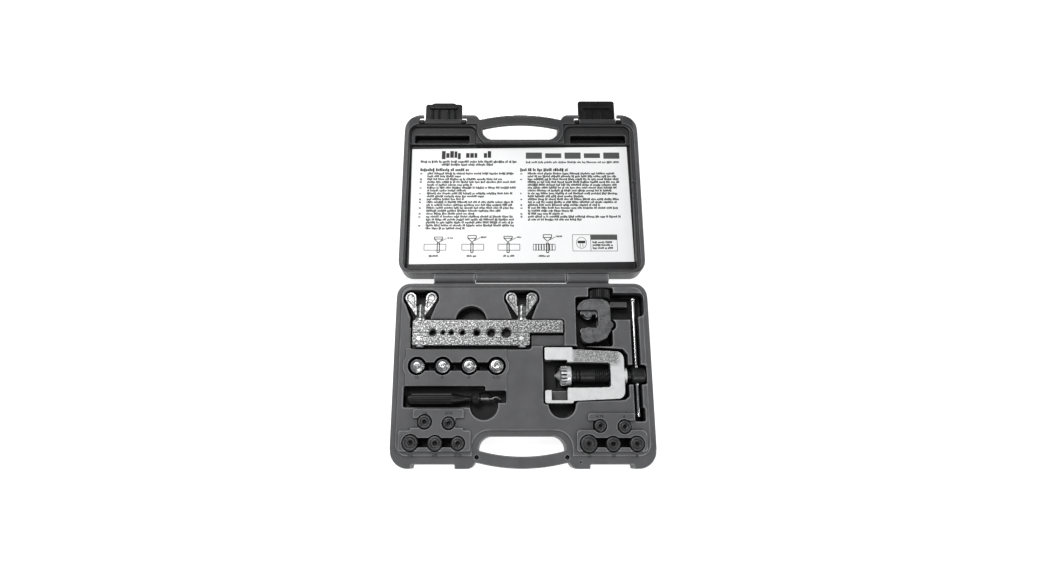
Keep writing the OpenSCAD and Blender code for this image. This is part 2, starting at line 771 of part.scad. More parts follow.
module cutter_body() {
    z0 = cutter_z - cutter_t / 2;
    color(grey_paint) difference() {
        union() {
            translate([0, 0, z0]) linear_extrude(cutter_t) cutter_profile_2d();
            translate([jaw[0], jaw[1], z0]) cylinder(r = jaw_r, h = cutter_t);
            translate([98.4, 54, z0 + 1]) cylinder(r = 4.6, h = cutter_t - 2);
        }
        // Guide for the slide, its screw, and the jaw's roller slot
        box(83, 95.5, throat_y[0] - 0.5, throat_y[1] + 4.5, cutter_z - 5.4, cutter_z + 5.4);
        box(66, 86, throat_y[1] - 1, throat_y[1] + 4.5, cutter_z - 5.4, cutter_z + 5.4);
        rod_y(screw_x, 44.8, 90, cutter_z, 3 + fit_gap);
        rod_y(wheel_x, throat_y[1] - 1, throat_y[1] + 7.5, cutter_z, 2.6);
        box(62, 88, roller_y - roller_r - 0.4, throat_y[0] + 1, cutter_z - 5, cutter_z + 5);
        for (x = roller_x) translate([x, roller_y, z0 - 1]) cylinder(r = 1.5 + fit_gap, h = cutter_t + 2);
        well(91, 62, 3, cutter_z + cutter_t / 2 - 1);
    }
}

module cutter_slide() {
    w = slide_half_t;
    color(steel) difference() {
        union() {
            box(84, 95.2, 63, 74.6, cutter_z - w, cutter_z + w);
            box(66.4, 85, 66.5, 74.6, cutter_z - w, cutter_z + w);
            translate([wheel_x, wheel_y, cutter_z - w]) cylinder(r = 5, h = 2 * w);
        }
        rod_y(screw_x, 50, 90, cutter_z, 3 + fit_gap);
        box(66, 82.4, 50, wheel_y + wheel_d / 2 + 0.6, cutter_z - 0.8, cutter_z + 0.8);
        translate([wheel_x, wheel_y, cutter_z - 10]) cylinder(r = 1.5 + fit_gap, h = 20);
    }
}

module cutting_wheel() {
    color(steel) translate([wheel_x, wheel_y, cutter_z]) difference() {
        union() {
            cylinder(r1 = wheel_d / 2, r2 = wheel_d / 2 - 1.2, h = 0.6);
            mirror([0, 0, 1]) cylinder(r1 = wheel_d / 2, r2 = wheel_d / 2 - 1.2, h = 0.6);
        }
        cylinder(r = 1.5 + fit_gap, h = 4, center = true);
    }
}

module wheel_axle() {
    color(steel) translate([wheel_x, wheel_y, cutter_z - slide_half_t + 0.1])
        cylinder(r = 1.5, h = 2 * slide_half_t - 0.2);
}

module roller(i) {
    color(steel) translate([roller_x[i], roller_y, cutter_z]) difference() {
        cylinder(r = roller_r, h = 9.4, center = true);
        cylinder(r = 1.5 + fit_gap, h = 20, center = true);
        rotate_extrude() translate([roller_r + 0.5, 0]) circle(1.1);
    }
}

module roller_left() { roller(0); }

module roller_right() { roller(1); }

module roller_pin(i) {
    color(steel) translate([roller_x[i], roller_y, cutter_z - cutter_t / 2])
        cylinder(r = 1.5, h = cutter_t + 0.1);
}

module roller_pin_left() { roller_pin(0); }

module roller_pin_right() { roller_pin(1); }

module cutter_screw() {
    color(steel) rod_y(screw_x, 45, 89, cutter_z, 3);
}

module cutter_knob() {
    r = knob_d / 2;
    color(black_oxide) difference() {
        union() {
            taper_y(screw_x, knob_y[0], knob_y[0] + 1.2, cutter_z, r - 1.2, r);
            rod_y(screw_x, knob_y[0] + 1.2, knob_y[1] - 1.2, cutter_z, r);
            taper_y(screw_x, knob_y[1] - 1.2, knob_y[1], cutter_z, r, r - 1.2);
        }
        rod_y(screw_x, knob_y[0] - 1, 89, cutter_z, 3);
        rod_y(screw_x, knob_y[1] - 1.4, knob_y[1] + 1, cutter_z, r - 4);
        for (a = [0:15:359]) translate([screw_x, 0, cutter_z]) rotate([0, a, 0])
            rod_y(0, knob_y[0] - 1, knob_y[1] + 1, r + 0.5, 1.1);
    }
}

// ---- Deburring tool ----

module deburr_handle() {
    r = deburr_d / 2;
    color(latch_black) difference() {
        union() {
            taper_x(deburr_x[0], deburr_x[0] + 2, deburr_y, deburr_z, r - 2, r);
            rod_x(deburr_x[0] + 2, -77, deburr_y, deburr_z, r);
            taper_x(-77, -66, deburr_y, deburr_z, r, 3.9);
            rod_x(-66, -64.5, deburr_y, deburr_z, 3.9);
        }
        rod_x(-75, -64, deburr_y, deburr_z, shank_r);
        for (a = [22.5:45:359]) translate([0, deburr_y, deburr_z]) rotate([a, 0, 0])
            rod_x(deburr_x[0] + 4, -79, 0, r + 0.7, 1.6);
    }
}

module deburr_shank() {
    color(steel) difference() {
        union() {
            rod_x(-75, -36, deburr_y, deburr_z, shank_r);
            for (x = [-64:1.6:-58]) rod_x(x, x + 0.8, deburr_y, deburr_z, 3.4);
        }
        rod_x(-44, -35, deburr_y, deburr_z, 1.3 + fit_gap);
    }
}

module deburr_collar() {
    color(black_oxide) difference() {
        union() {
            taper_x(-56.4, -54.9, deburr_y, deburr_z, 4.6, 6);
            rod_x(-54.9, -48.5, deburr_y, deburr_z, 6);
            taper_x(-48.5, -46.4, deburr_y, deburr_z, 6, 3.8);
        }
        rod_x(-60, -40, deburr_y, deburr_z, shank_r);
        for (a = [0:30:359]) translate([0, deburr_y, deburr_z]) rotate([a, 0, 0])
            rod_x(-58, -45, 0, 6.5, 0.9);
    }
}

// The blade turns in the shank; its tip is cranked off the axis
module deburr_blade() {
    r = 1.3;
    bend = [[-34, 0], [-31, 1.7], [-27.5, 1.7], [deburr_x[1], -0.6]];
    color(steel) translate([0, deburr_y, deburr_z]) {
        rod_x(-43.6, bend[0][0] + 0.4, 0, 0, r);
        for (i = [0:2]) {
            step = bend[i + 1] - bend[i];
            translate([bend[i][0], bend[i][1], 0]) rotate([0, 0, atan2(step[1], step[0])])
                rod_x(-0.4, norm(step) + 0.4, 0, 0, r - 0.04 - 0.03 * i);
        }
    }
}

// ---- Adapters ----

// Bright adapter: a turned plug with a coned top, standing in a deep well
module bubble_adapter(i) {
    a = BUBBLE[i];
    color(zinc) translate([a[0], a[1], 0]) rotate_extrude() polygon([
        [0, bubble_bottom], [a[2] - 1, bubble_bottom], [a[2], bubble_bottom + 1], [a[2], bubble_top - 5],
        [a[2] - 1.2, bubble_top - 3.4], [a[3] + 1.4, bubble_top - 1.6], [a[3], bubble_top - 1.6],
        [a[3] - 0.6, bubble_top], [0, bubble_top]]);
}

module bubble_adapter_1() { bubble_adapter(0); }

module bubble_adapter_2() { bubble_adapter(1); }

module bubble_adapter_3() { bubble_adapter(2); }

module bubble_adapter_4() { bubble_adapter(3); }

// Dark adapter: a head with a cone seat on top and a pilot pin below
module flare_adapter(a) {
    r = a[2];
    color(dark_oxide) translate([a[0], a[1], 0]) rotate_extrude() polygon([
        [0, pin_bottom], [a[3] - 0.6, pin_bottom], [a[3], pin_bottom + 0.8], [a[3], head_bottom - 1.2],
        [r - 1.6, head_bottom], [r, head_bottom + 1], [r, head_top - 1.4], [r - 1, head_top],
        [r - 2.4, head_top], [r - 2.9, head_top - 0.7], [r - 3.6, head_top - 0.7], [2, head_top - 1.6],
        [1.6, head_top - 5], [0, head_top - 5]]);
}

module left_adapter_1() { flare_adapter(LEFT_SET[0]); }

module left_adapter_2() { flare_adapter(LEFT_SET[1]); }

module left_adapter_3() { flare_adapter(LEFT_SET[2]); }

module left_adapter_4() { flare_adapter(LEFT_SET[3]); }

module left_adapter_5() { flare_adapter(LEFT_SET[4]); }

module right_adapter_1() { flare_adapter(RIGHT_SET[0]); }

module right_adapter_2() { flare_adapter(RIGHT_SET[1]); }

module right_adapter_3() { flare_adapter(RIGHT_SET[2]); }

module right_adapter_4() { flare_adapter(RIGHT_SET[3]); }

module right_adapter_5() { flare_adapter(RIGHT_SET[4]); }

// ---- The nodes, one line each ----

case_base();
case_lid();
hinge_pin();
instruction_card();
latch_left();
latch_right();
latch_pin_left();
latch_pin_right();
bar_long_half();
bar_short_half();
clamp_bolt_left();
clamp_bolt_right();
bolt_pin_left();
bolt_pin_right();
wing_nut_left();
wing_nut_right();
nut_washer_left();
nut_washer_right();
yoke_frame();
feed_screw();
flare_cone();
cone_collar();
cone_sleeve();
t_bar();
cutter_body();
cutter_knob();
cutter_screw();
cutter_slide();
cutting_wheel();
wheel_axle();
roller_left();
roller_right();
roller_pin_left();
roller_pin_right();
deburr_handle();
deburr_collar();
deburr_shank();
deburr_blade();
bubble_adapter_1();
bubble_adapter_2();
bubble_adapter_3();
bubble_adapter_4();
left_adapter_1();
left_adapter_2();
left_adapter_3();
left_adapter_4();
left_adapter_5();
right_adapter_1();
right_adapter_2();
right_adapter_3();
right_adapter_4();
right_adapter_5();
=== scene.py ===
"""A tube flaring kit in its open carry case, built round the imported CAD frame.

The pieces' numbers are in millimetres, in the frame's own axes: X to the right along the hinge,
Y from the front edge towards the lid, Z up. The camera, the lights and the floor are in metres,
as are the finished meshes.
"""
import json
import math
import random

import bmesh
import bpy
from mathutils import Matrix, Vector
from mathutils.bvhtree import BVHTree

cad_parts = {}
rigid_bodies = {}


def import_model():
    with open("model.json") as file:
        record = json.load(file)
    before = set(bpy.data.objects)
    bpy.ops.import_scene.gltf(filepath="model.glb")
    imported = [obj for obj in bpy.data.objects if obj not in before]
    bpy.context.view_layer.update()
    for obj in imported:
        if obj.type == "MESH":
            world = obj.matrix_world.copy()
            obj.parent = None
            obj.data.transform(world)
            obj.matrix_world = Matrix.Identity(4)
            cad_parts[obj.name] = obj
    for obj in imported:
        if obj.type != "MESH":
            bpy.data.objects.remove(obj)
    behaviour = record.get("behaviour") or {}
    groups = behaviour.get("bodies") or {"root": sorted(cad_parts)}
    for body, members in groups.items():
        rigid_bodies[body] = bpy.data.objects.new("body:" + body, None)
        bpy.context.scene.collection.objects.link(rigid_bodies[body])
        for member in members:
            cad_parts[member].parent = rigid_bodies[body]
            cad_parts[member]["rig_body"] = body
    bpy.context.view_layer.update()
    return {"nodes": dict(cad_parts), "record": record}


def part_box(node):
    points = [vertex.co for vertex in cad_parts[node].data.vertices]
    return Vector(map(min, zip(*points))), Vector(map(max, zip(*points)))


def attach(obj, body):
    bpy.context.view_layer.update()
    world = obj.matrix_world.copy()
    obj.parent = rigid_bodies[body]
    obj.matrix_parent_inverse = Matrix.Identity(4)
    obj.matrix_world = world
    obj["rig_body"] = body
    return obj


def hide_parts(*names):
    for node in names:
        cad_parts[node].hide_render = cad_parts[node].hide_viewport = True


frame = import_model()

MM = 0.001
SLOT_OF = {p["node"]: p["material_slot"] for p in frame["record"]["subparts"]}
BODY_OF = {name: node["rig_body"] for name, node in frame["nodes"].items()}


# ---- Camera, floor and light ----

def make_camera():
    """A wide view from above, tipped towards the lid."""
    data = bpy.data.cameras.new("camera")
    data.lens = 21.12
    data.sensor_width = 36.0
    data.shift_x = 0.01576
    data.clip_start = 0.01
    camera = bpy.data.objects.new("camera", data)
    camera.location = (-0.0173, -0.0834, 0.7102)
    camera.rotation_euler = (math.radians(15.0), 0.0, 0.0)
    bpy.context.scene.collection.objects.link(camera)
    bpy.context.scene.camera = camera


def make_floor():
    """Plain pale paper that glows a little, so that it stays white away from the lights."""
    half = 4.0
    mesh = bpy.data.meshes.new("floor")
    mesh.from_pydata([(-half, -half, 0), (half, -half, 0), (half, half, 0), (-half, half, 0)],
                     [], [(0, 1, 2, 3)])
    floor = bpy.data.objects.new("floor", mesh)
    floor.location.z = -0.2 * MM
    bpy.context.scene.collection.objects.link(floor)
    material = bpy.data.materials.new("floor_paper")
    material.use_nodes = True
    shader = material.node_tree.nodes["Principled BSDF"]
    shader.inputs["Base Color"].default_value = (0.93, 0.93, 0.93, 1)
    shader.inputs["Roughness"].default_value = 0.9
    shader.inputs["Emission Color"].default_value = (1, 1, 1, 1)
    shader.inputs["Emission Strength"].default_value = 0.85
    mesh.materials.append(material)


def area_light(name, place, aim, width, depth, watts):
    data = bpy.data.lights.new(name, "AREA")
    data.shape = "RECTANGLE"
    data.size = width
    data.size_y = depth
    data.energy = watts
    light = bpy.data.objects.new(name, data)
    light.location = place
    light.rotation_euler = (Vector(aim) - Vector(place)).to_track_quat("-Z", "Y").to_euler()
    light.visible_camera = False
    bpy.context.scene.collection.objects.link(light)


def make_lights():
    world = bpy.data.worlds.new("studio")
    world.use_nodes = True
    background = world.node_tree.nodes["Background"]
    background.inputs["Color"].default_value = (0.95, 0.97, 1.0, 1)
    background.inputs["Strength"].default_value = 0.24
    bpy.context.scene.world = world
    middle = (0.0, 0.1, 0.0)
    area_light("key_softbox", (-0.35, 0.55, 1.25), middle, 0.55, 0.55, 8.0)
    area_light("front_softbox", (0.25, -0.75, 0.95), middle, 0.7, 0.35, 2.6)
    area_light("side_strip", (1.1, 0.1, 0.5), middle, 0.2, 0.9, 2.2)
    bpy.context.scene.view_settings.view_transform = "Standard"


# ---- Mesh helpers ----

SHARP_ANGLE = 35.0
WELD_GAP_MM = 0.002
FLUTE_FADE_MM = 1.5


def add_piece(name, verts, faces):
    """A mesh object in the frame's axes from millimetre points, sharp where faces meet steeply."""
    mesh = bpy.data.meshes.new(name)
    mesh.from_pydata([tuple(c * MM for c in v) for v in verts], [], faces)
    build = bmesh.new()
    build.from_mesh(mesh)
    bmesh.ops.recalc_face_normals(build, faces=build.faces)
    build.to_mesh(mesh)
    build.free()
    mesh.shade_smooth()
    mesh.set_sharp_from_angle(angle=math.radians(SHARP_ANGLE))
    piece = bpy.data.objects.new(name, mesh)
    bpy.context.scene.collection.objects.link(piece)
    return piece


def stand_for(piece, node):
    """Puts a piece in the place of a CAD node, on its body and in its material slot."""
    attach(piece, BODY_OF[node])
    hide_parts(node)
    paint(piece, node)


def paint(piece, node):
    """Gives an object the material of the node that it is, or stands for."""
    piece.data.materials.clear()
    piece.data.materials.append(DARK_STEEL if node in DULL_NODES else MATERIALS[SLOT_OF[node]])


def box_mm(node):
    """A CAD node's lowest and highest corners in millimetres."""
    low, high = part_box(node)
    return low / MM, high / MM


def rounded(points, radius, steps=3):
    """An open profile with each inner corner turned into a small curve."""
    out = [points[0]]
    for before, here, after in zip(points, points[1:-1], points[2:]):
        here = Vector(here)
        back, on = Vector(before) - here, Vector(after) - here
        reach = min(radius, back.length * 0.45, on.length * 0.45)
        start, end = here + back.normalized() * reach, here + on.normalized() * reach
        for i in range(steps + 1):
            t = i / steps
            out.append(tuple(start * (1 - t) ** 2 + here * 2 * t * (1 - t) + end * t * t))
    return out + [points[-1]]


def dense(points, step):
    """A profile with extra points, so that no stretch along the axis is longer than step."""
    out = [points[0]]
    for a, b in zip(points, points[1:]):
        count = max(1, math.ceil(abs(b[0] - a[0]) / step))
        out += [(a[0] + (b[0] - a[0]) * i / count, a[1] + (b[1] - a[1]) * i / count)
                for i in range(1, count + 1)]
    return out


def lathe(name, profile, axis, at, shape=None, turns=72):
    """Turns (along, radius) points round an axis through at.

    at holds the two coordinates across the axis. shape(angle, along, radius) gives the radius
    at each point, for knurls, flutes and threads.
    """
    verts = []
    faces = []
    rings = [(along, max(radius, 0.02)) for along, radius in profile]
    for along, radius in rings:
        for i in range(turns):
            angle = 2 * math.pi * i / turns
            r = shape(angle, along, radius) if shape else radius
            across = (at[0] + r * math.cos(angle), at[1] + r * math.sin(angle))
            verts.append({"x": (along, across[0], across[1]),
                          "y": (across[0], along, across[1]),
                          "z": (across[0], across[1], along)}[axis])
    for ring in range(len(rings) - 1):
        for i in range(turns):
            j = (i + 1) % turns
            a, b = ring * turns, (ring + 1) * turns
            faces.append((a + i, a + j, b + j, b + i))
    faces.append(tuple(range(turns)))
    faces.append(tuple(range((len(rings) - 1) * turns, len(rings) * turns)))
    return add_piece(name, verts, faces)


def zigzag(t):
    """A wave that goes from 0 up to 1 and back while t goes from one whole number to the next."""
    return 1 - abs(2 * (t % 1.0) - 1)


def thread(pitch, depth, start, end):
    """A helical V thread between two places along the axis."""
    def shape(angle, along, radius):
        if not start < along < end:
            return radius
        return radius - depth * zigzag(along / pitch - angle / (2 * math.pi))
    return shape


def flutes(count, depth, sharpness, start, end):
    """Grooves that run along the axis and fade out at both ends."""
    def shape(angle, along, radius):
        nearest_end = min(along - start, end - along)
        fade = min(1.0, max(0.0, nearest_end / FLUTE_FADE_MM))
        return radius - depth * fade * max(0.0, math.cos(count * angle)) ** sharpness
    return shape


def diamonds(count, pitch, depth, start, end):
    """A diamond knurl between two places along the axis."""
    def shape(angle, along, radius):
        if not start < along < end:
            return radius
        turn = count * angle / (2 * math.pi)
        ridge = min(zigzag(turn + along / pitch), zigzag(turn - along / pitch))
        return radius - depth * (1 - min(1.0, ridge * 2))
    return shape


def applied(piece):
    """Bakes a piece's modifiers into its mesh."""
    view = bpy.context.evaluated_depsgraph_get()
    mesh = bpy.data.meshes.new_from_object(piece.evaluated_get(view))
    piece.modifiers.clear()
    old = piece.data
    piece.data = mesh
    bpy.data.meshes.remove(old)


def softened(node, voxel, rounds, most_faces):
    """Puts a piece with the CAD node's form and soft, moulded edges in its place.

    voxel is the remesh size in millimetres, and rounds is how often the result is smoothed.
    """
    mesh = frame["nodes"][node].data.copy()
    piece = bpy.data.objects.new(node + "_skin", mesh)
    bpy.context.scene.collection.objects.link(piece)
    weld = piece.modifiers.new("weld", "WELD")
    weld.merge_threshold = WELD_GAP_MM * MM
    remesh = piece.modifiers.new("remesh", "REMESH")
    remesh.mode = "VOXEL"
    remesh.voxel_size = voxel * MM
    remesh.use_smooth_shade = True
    smooth = piece.modifiers.new("smooth", "SMOOTH")
    smooth.factor = 0.5
    smooth.iterations = rounds
    applied(piece)
    faces = sum(len(f.vertices) - 2 for f in piece.data.polygons)
    if faces > most_faces:
        decimate = piece.modifiers.new("decimate", "DECIMATE")
        decimate.ratio = most_faces / faces
        applied(piece)
    piece.data.shade_smooth()
    normals = piece.modifiers.new("normals", "WEIGHTED_NORMAL")
    normals.weight = 60
    stand_for(piece, node)


# ---- Materials ----
# Texture coordinates are the frame's own metres, so a scale of 1000 makes marks of about 1 mm.

class Look:
    """A node material that is built up one layer at a time."""

    def __init__(self, name, color, roughness, metallic=0.0, **sockets):
        self.material = bpy.data.materials.new(name)
        self.material.use_nodes = True
        self.nodes = self.material.node_tree.nodes
        self.links = self.material.node_tree.links
        self.shader = self.nodes["Principled BSDF"]
        self.shader.inputs["Base Color"].default_value = (*color, 1)
        self.shader.inputs["Roughness"].default_value = roughness
        self.shader.inputs["Metallic"].default_value = metallic
        for socket, value in sockets.items():
            self.shader.inputs[socket.replace("_", " ")].default_value = value
        self.place = self.nodes.new("ShaderNodeTexCoord").outputs["Object"]

    def stretched(self, scale):
        """Coordinates stretched along the axes, for brushed and drawn marks."""
        node = self.nodes.new("ShaderNodeMapping")
        node.inputs["Scale"].default_value = scale
        self.links.new(self.place, node.inputs["Vector"])
        return node.outputs["Vector"]

    def noise(self, scale, detail=2.0, place=None):
        node = self.nodes.new("ShaderNodeTexNoise")
        node.inputs["Scale"].default_value = scale
        node.inputs["Detail"].default_value = detail
        self.links.new(place or self.place, node.inputs["Vector"])
        return node.outputs["Fac"]

    def openness(self, reach):
        """1 on an open face and less in a hollow; reach is how far it looks, in millimetres."""
        node = self.nodes.new("ShaderNodeAmbientOcclusion")
        node.samples = 10
        node.inputs["Distance"].default_value = reach * MM
        return node.outputs["AO"]

    def edges(self):
        """0.5 on a flat face, more on an outer edge and less along an inner one."""
        return self.nodes.new("ShaderNodeNewGeometry").outputs["Pointiness"]

    def height(self, low, high, axis="Z"):
        """0 up to one place along an axis and 1 from another, in millimetres."""
        split = self.nodes.new("ShaderNodeSeparateXYZ")
        self.links.new(self.place, split.inputs[0])
        node = self.nodes.new("ShaderNodeMapRange")
        node.inputs["From Min"].default_value = low * MM
        node.inputs["From Max"].default_value = high * MM
        self.links.new(split.outputs[axis], node.inputs["Value"])
        return node.outputs["Result"]

    def facing_up(self):
        """1 where the surface faces up in the frame's axes, 0.5 on a wall and 0 underneath."""
        split = self.nodes.new("ShaderNodeSeparateXYZ")
        self.links.new(self.place.node.outputs["Normal"], split.inputs[0])
        node = self.nodes.new("ShaderNodeMapRange")
        node.inputs["From Min"].default_value = -1.0
        self.links.new(split.outputs["Z"], node.inputs["Value"])
        return node.outputs["Result"]

    def painted_hollow_shade(self, source, reach):
        """Painted shade: darkens a colour in corners and grooves up to reach millimetres wide."""
        shade = self.ramp(self.openness(reach), [(0.3, 0.1), (0.75, 0.8), (0.95, 1.0)])
        return self.times(source, shade)

    def painted_edge_highlight(self, source, light):
        """Painted highlight: lightens a colour along the outer edges."""
        return self.mixed(self.ramp(self.edges(), [(0.51, 0.0), (0.56, 0.9)]), source, (light,) * 3)

    def times(self, first, second):
        """Two colours or values multiplied."""
        return self.mixed(1.0, first, second, "MULTIPLY")

    def ramp(self, source, stops):
        """Turns a 0 to 1 value into grey or colour stops of (position, value)."""
        node = self.nodes.new("ShaderNodeValToRGB")
        elements = node.color_ramp.elements
        while len(elements) < len(stops):
            elements.new(0.5)
        for element, (position, value) in zip(elements, stops):
            element.position = position
            element.color = (*value, 1) if hasattr(value, "__len__") else (value, value, value, 1)
        self.links.new(source, node.inputs["Fac"])
        return node.outputs["Color"]

    def mixed(self, share, first, second, blend="MIX"):
        """Goes from the first colour to the second as share goes from 0 to 1."""
        node = self.nodes.new("ShaderNodeMix")
        node.data_type = "RGBA"
        node.blend_type = blend
        if hasattr(share, "is_linked"):
            self.links.new(share, node.inputs["Factor"])
        else:
            node.inputs["Factor"].default_value = share
        for socket, value in (("A", first), ("B", second)):
            target = [s for s in node.inputs if s.name == socket and s.type == "RGBA"][0]
            if hasattr(value, "is_linked"):
                self.links.new(value, target)
            else:
                target.default_value = (*value, 1)
        return [s for s in node.outputs if s.type == "RGBA"][0]

    def color(self, source):
        self.links.new(source, self.shader.inputs["Base Color"])

    def rough(self, source, low, high):
        """Drives the roughness from low to high as source goes from 0 to 1."""
        node = self.nodes.new("ShaderNodeMapRange")
        node.inputs["To Min"].default_value = low
        node.inputs["To Max"].default_value = high
        self.links.new(source, node.inputs["Value"])
        self.links.new(node.outputs["Result"], self.shader.inputs["Roughness"])

    def bump(self, *layers):
        """Stacks bumps of (source, height in mm), and ends the look."""
        normal = None
        for source, height in layers:
            node = self.nodes.new("ShaderNodeBump")
            node.inputs["Strength"].default_value = 1.0
            node.inputs["Distance"].default_value = height * MM
            self.links.new(source, node.inputs["Height"])
            if normal:
                self.links.new(normal, node.inputs["Normal"])
            normal = node.outputs["Normal"]
        self.links.new(normal, self.shader.inputs["Normal"])
        return self


def scaled(color, factor):
    """A colour made lighter or darker, and never past white."""
    return tuple(min(1.0, c * factor) for c in color)


def moulded_plastic(name, color, roughness, rim, floor_shades, walls):
    """Blow-moulded polyethylene: sand texture, faint flow marks, and scuffs along the deck.

    The hollows get painted shade below the rim height, as floor_shades says from 0 mm up to the
    rim, and more painted shade in corners and narrow pockets; the outer edges get a painted
    highlight.
    The outer walls and the underside get no height shade; walls holds the walls' places, as
    (axis, outside, inside) in mm.
    """
    look = Look(name, color, roughness, Specular_IOR_Level=0.32)
    clouds = look.ramp(look.noise(45, 4), [(0.3, scaled(color, 0.88)), (0.7, scaled(color, 1.12))])
    scuffs = look.noise(900, 3, look.stretched((1.0, 0.08, 1.0)))
    scuffed = look.mixed(look.ramp(scuffs, [(0.66, 0.0), (0.74, 0.35)]), clouds, scaled(color, 1.5))
    within = look.ramp(look.facing_up(), [(0.3, 0.0), (0.4, 1.0)])
    for axis, outside, inside in walls:
        past_wall = look.height(outside, inside, axis)
        within = look.times(within, look.ramp(past_wall, [(0.0, 0.0), (1.0, 1.0)]))
    shade = look.mixed(within, (1.0, 1.0, 1.0), look.ramp(look.height(0, rim), floor_shades))
    # Painted shade: darker in wide pockets, then in narrow corners and grooves.
    shade = look.times(shade, look.ramp(look.openness(14), [(0.3, 0.25), (0.6, 0.55), (0.92, 1.0)]))
    shade = look.times(shade, look.ramp(look.openness(2.5), [(0.45, 0.35), (0.85, 1.0)]))
    shaded = look.times(scuffed, shade)
    # Painted highlight along the outer edges.
    outer = look.ramp(look.edges(), [(0.506, 0.0), (0.538, 0.8)])
    look.color(look.mixed(look.times(outer, shade), shaded, scaled(color, 3.0)))
    look.rough(look.noise(380, 3), roughness - 0.08, roughness + 0.1)
    return look.bump((look.noise(110, 2), 0.06), (look.noise(1900, 3), 0.035)).material


def gloss_plastic(name):
    """Black moulded latch plastic with a little gloss."""
    look = Look(name, (0.009, 0.009, 0.009), 0.28, Specular_IOR_Level=0.3)
    look.color(look.ramp(look.noise(120, 4), [(0.35, (0.007,) * 3), (0.7, (0.016,) * 3)]))
    look.rough(look.noise(500, 4), 0.2, 0.42)
    return look.bump((look.noise(140, 2), 0.05), (look.noise(1500, 2), 0.008)).material


def speckled_zinc(name, dark, middle, light):
    """Zinc over a shot-blasted surface: bright facets with dark pits between."""
    look = Look(name, (middle,) * 3, 0.4, 0.85)
    grain = look.noise(640, 5)
    facets = look.ramp(grain, [(0.37, dark), (0.47, middle * 0.7), (0.54, middle), (0.63, light)])
    # Painted highlight along the edges and painted shade in the hollows.
    look.color(look.painted_hollow_shade(look.painted_edge_highlight(facets, light), 5))
    look.rough(look.noise(600, 3), 0.3, 0.55)
    return look.bump((grain, 0.3), (look.noise(2100, 2), 0.05)).material


def plated_zinc(name):
    """Zinc plate, dull grey at random, with a painted highlight on its rims and painted shade in
    its dishes.
    """
    look = Look(name, (0.5, 0.5, 0.5), 0.35, 0.95)
    dull = look.ramp(look.noise(420, 4), [(0.35, 0.09), (0.5, 0.22), (0.65, 0.42)])
    look.color(look.painted_hollow_shade(look.painted_edge_highlight(dull, 0.95), 6))
    look.rough(look.noise(500, 3), 0.2, 0.45)
    return look.bump((look.noise(500, 3), 0.12),).material


def polished_metal(name, color, low, high, marks=(1.0, 1.0, 1.0), height=0.006, metallic=1.0):
    """Smooth metal with fine scratches; marks stretches them, and height is their depth in mm."""
    look = Look(name, color, (low + high) / 2, metallic)
    scratches = look.noise(1400, 4, look.stretched(marks))
    tone = look.ramp(look.noise(160, 4), [(0.3, scaled(color, 0.82)), (0.7, scaled(color, 1.1))])
    # Painted shade in grooves and corners.
    look.color(look.painted_hollow_shade(tone, 3))
    look.rough(scratches, low, high)
    return look.bump((scratches, height)).material


def oxide(name, color, low, high, metallic=0.6):
    """Black or dark oxide with an oil sheen and bright worn grains."""
    look = Look(name, color, (low + high) / 2, metallic)
    worn = look.ramp(look.noise(700, 5), [(0.6, 0.0), (0.75, 0.5)])
    base = look.ramp(look.noise(90, 3), [(0.3, scaled(color, 0.75)), (0.7, scaled(color, 1.3))])
    rubbed = look.mixed(worn, base, scaled(color, 3.0))
    # Painted highlight along the edges; the hollows below get painted shade.
    rims = look.ramp(look.edges(), [(0.53, 0.0), (0.6, 0.7)])
    look.color(look.painted_hollow_shade(look.mixed(rims, rubbed, scaled(color, 7.0)), 3))
    look.rough(look.noise(420, 4), low, high)
    return look.bump((look.noise(1300, 3), 0.02)).material


YOKE_ARM_Y = (5, 12)
YOKE_FOOT_X = (54, 58)
YOKE_END_X = (104, 111)
YOKE_DEPTH_Z = (18, 31.5)


def silver_paint(name):
    """Light silver paint over a casting; the arm away from the front has a coarser grain and is
    painted greyer, as painted shade for the sheen that it lacks.

    Each of the yoke's places above is where one look fades into the next, in mm.
    """
    look = Look(name, (0.9, 0.9, 0.9), 0.45, 0.15)
    along = look.height(*YOKE_ARM_Y, "Y")
    past_foot = look.height(*YOKE_FOOT_X, "X")
    before_end = look.ramp(look.height(*YOKE_END_X, "X"), [(0.0, 1.0), (1.0, 0.0)])
    grain = look.noise(950, 4)
    fine = look.ramp(look.noise(130, 4), [(0.3, 0.84), (0.7, 0.96)])
    coarse = look.ramp(grain, [(0.34, 0.16), (0.5, 0.36), (0.62, 0.68)])
    # The arm's coarse grain is greyed as painted shade for its lost sheen.
    arm = look.times(look.times(along, past_foot), before_end)
    paint_tone = look.mixed(arm, fine, coarse)
    # Painted shade lower down in the pocket and in the hollows, and a painted highlight on the
    # edges.
    depth = look.ramp(look.height(*YOKE_DEPTH_Z), [(0.2, 0.14), (0.75, 0.5), (0.95, 1.0)])
    look.color(look.painted_edge_highlight(look.painted_hollow_shade(look.times(paint_tone, depth), 4), 0.95))
    look.rough(look.noise(500, 3), 0.35, 0.6)
    return look.bump((grain, 0.07), (look.noise(240, 2), 0.08)).material


